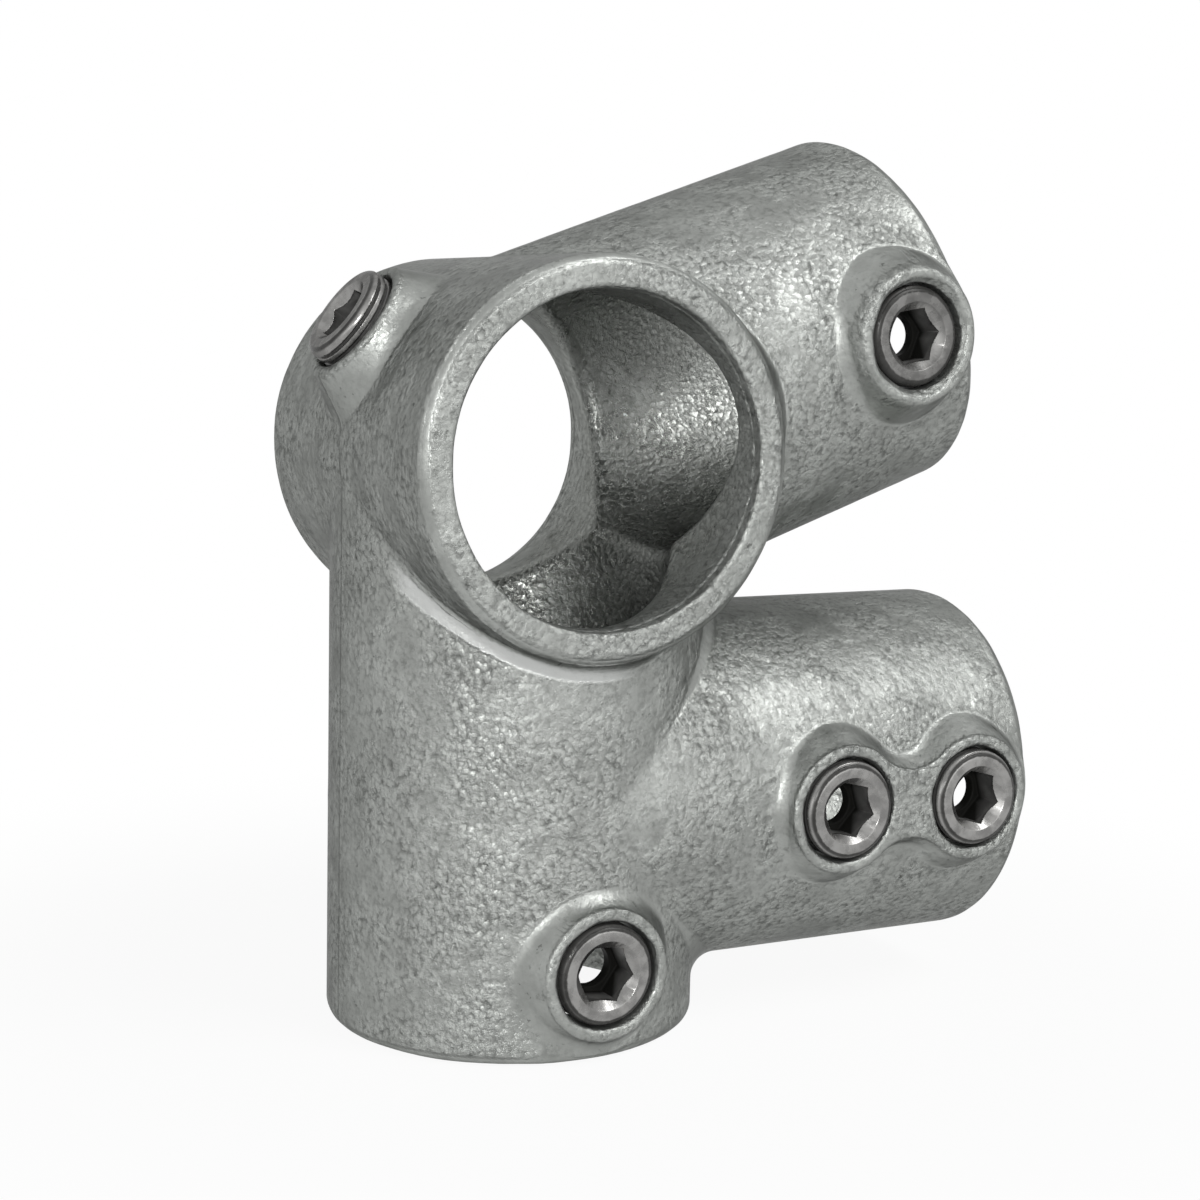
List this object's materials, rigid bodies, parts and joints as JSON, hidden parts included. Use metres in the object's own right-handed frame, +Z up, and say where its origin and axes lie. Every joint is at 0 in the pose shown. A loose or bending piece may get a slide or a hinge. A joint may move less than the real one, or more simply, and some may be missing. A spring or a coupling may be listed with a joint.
{
  "type": "eaves tube connector",
  "caption": "Cast socket connector for round tube: a through sleeve, an upright socket, a level tie socket and a pitched rafter socket, each clamped by hollow set screws.",
  "frame": {"origin": "on the axis of the through sleeve, in the plane that holds the axes of the upright, tie and rafter sockets", "axes": "+Z up along the upright, whose mouth looks down; +X out along the tie; Y along the through sleeve, with the screws of the upright, tie and rafter on the -Y side"},
  "size_m": [0.1172, 0.0667, 0.1438],
  "materials": {
    "galvanised_iron": "rough sand casting under hot-dip zinc, finely pebbled and mottled, with bright highlights and dark specks",
    "set_screw_steel": "smooth turned steel with a rounded face edge"
  },
  "bodies": {
    "casting": {"casting": "galvanised_iron"},
    "sleeve_screw": {"sleeve_set_screw": "set_screw_steel"},
    "upright_screw": {"upright_set_screw": "set_screw_steel"},
    "tie_inner_screw": {"tie_inner_set_screw": "set_screw_steel"},
    "tie_outer_screw": {"tie_outer_set_screw": "set_screw_steel"},
    "rafter_screw": {"rafter_set_screw": "set_screw_steel"}
  },
  "joints": [
    {"name": "sleeve_screw_travel", "type": "slide", "parent": "casting", "child": "sleeve_screw", "axis": [-0.8192, 0, 0.5736], "range_m": [-0.005, 0.0022]},
    {"name": "upright_screw_travel", "type": "slide", "parent": "casting", "child": "upright_screw", "axis": [0, -1, 0], "range_m": [-0.0008, 0.005]},
    {"name": "tie_inner_screw_travel", "type": "slide", "parent": "casting", "child": "tie_inner_screw", "axis": [0, -1, 0], "range_m": [-0.0016, 0.0042]},
    {"name": "tie_outer_screw_travel", "type": "slide", "parent": "casting", "child": "tie_outer_screw", "axis": [0, -1, 0], "range_m": [-0.0016, 0.0042]},
    {"name": "rafter_screw_travel", "type": "slide", "parent": "casting", "child": "rafter_screw", "axis": [0, -1, 0], "range_m": [-0.001, 0.006]}
  ]
}
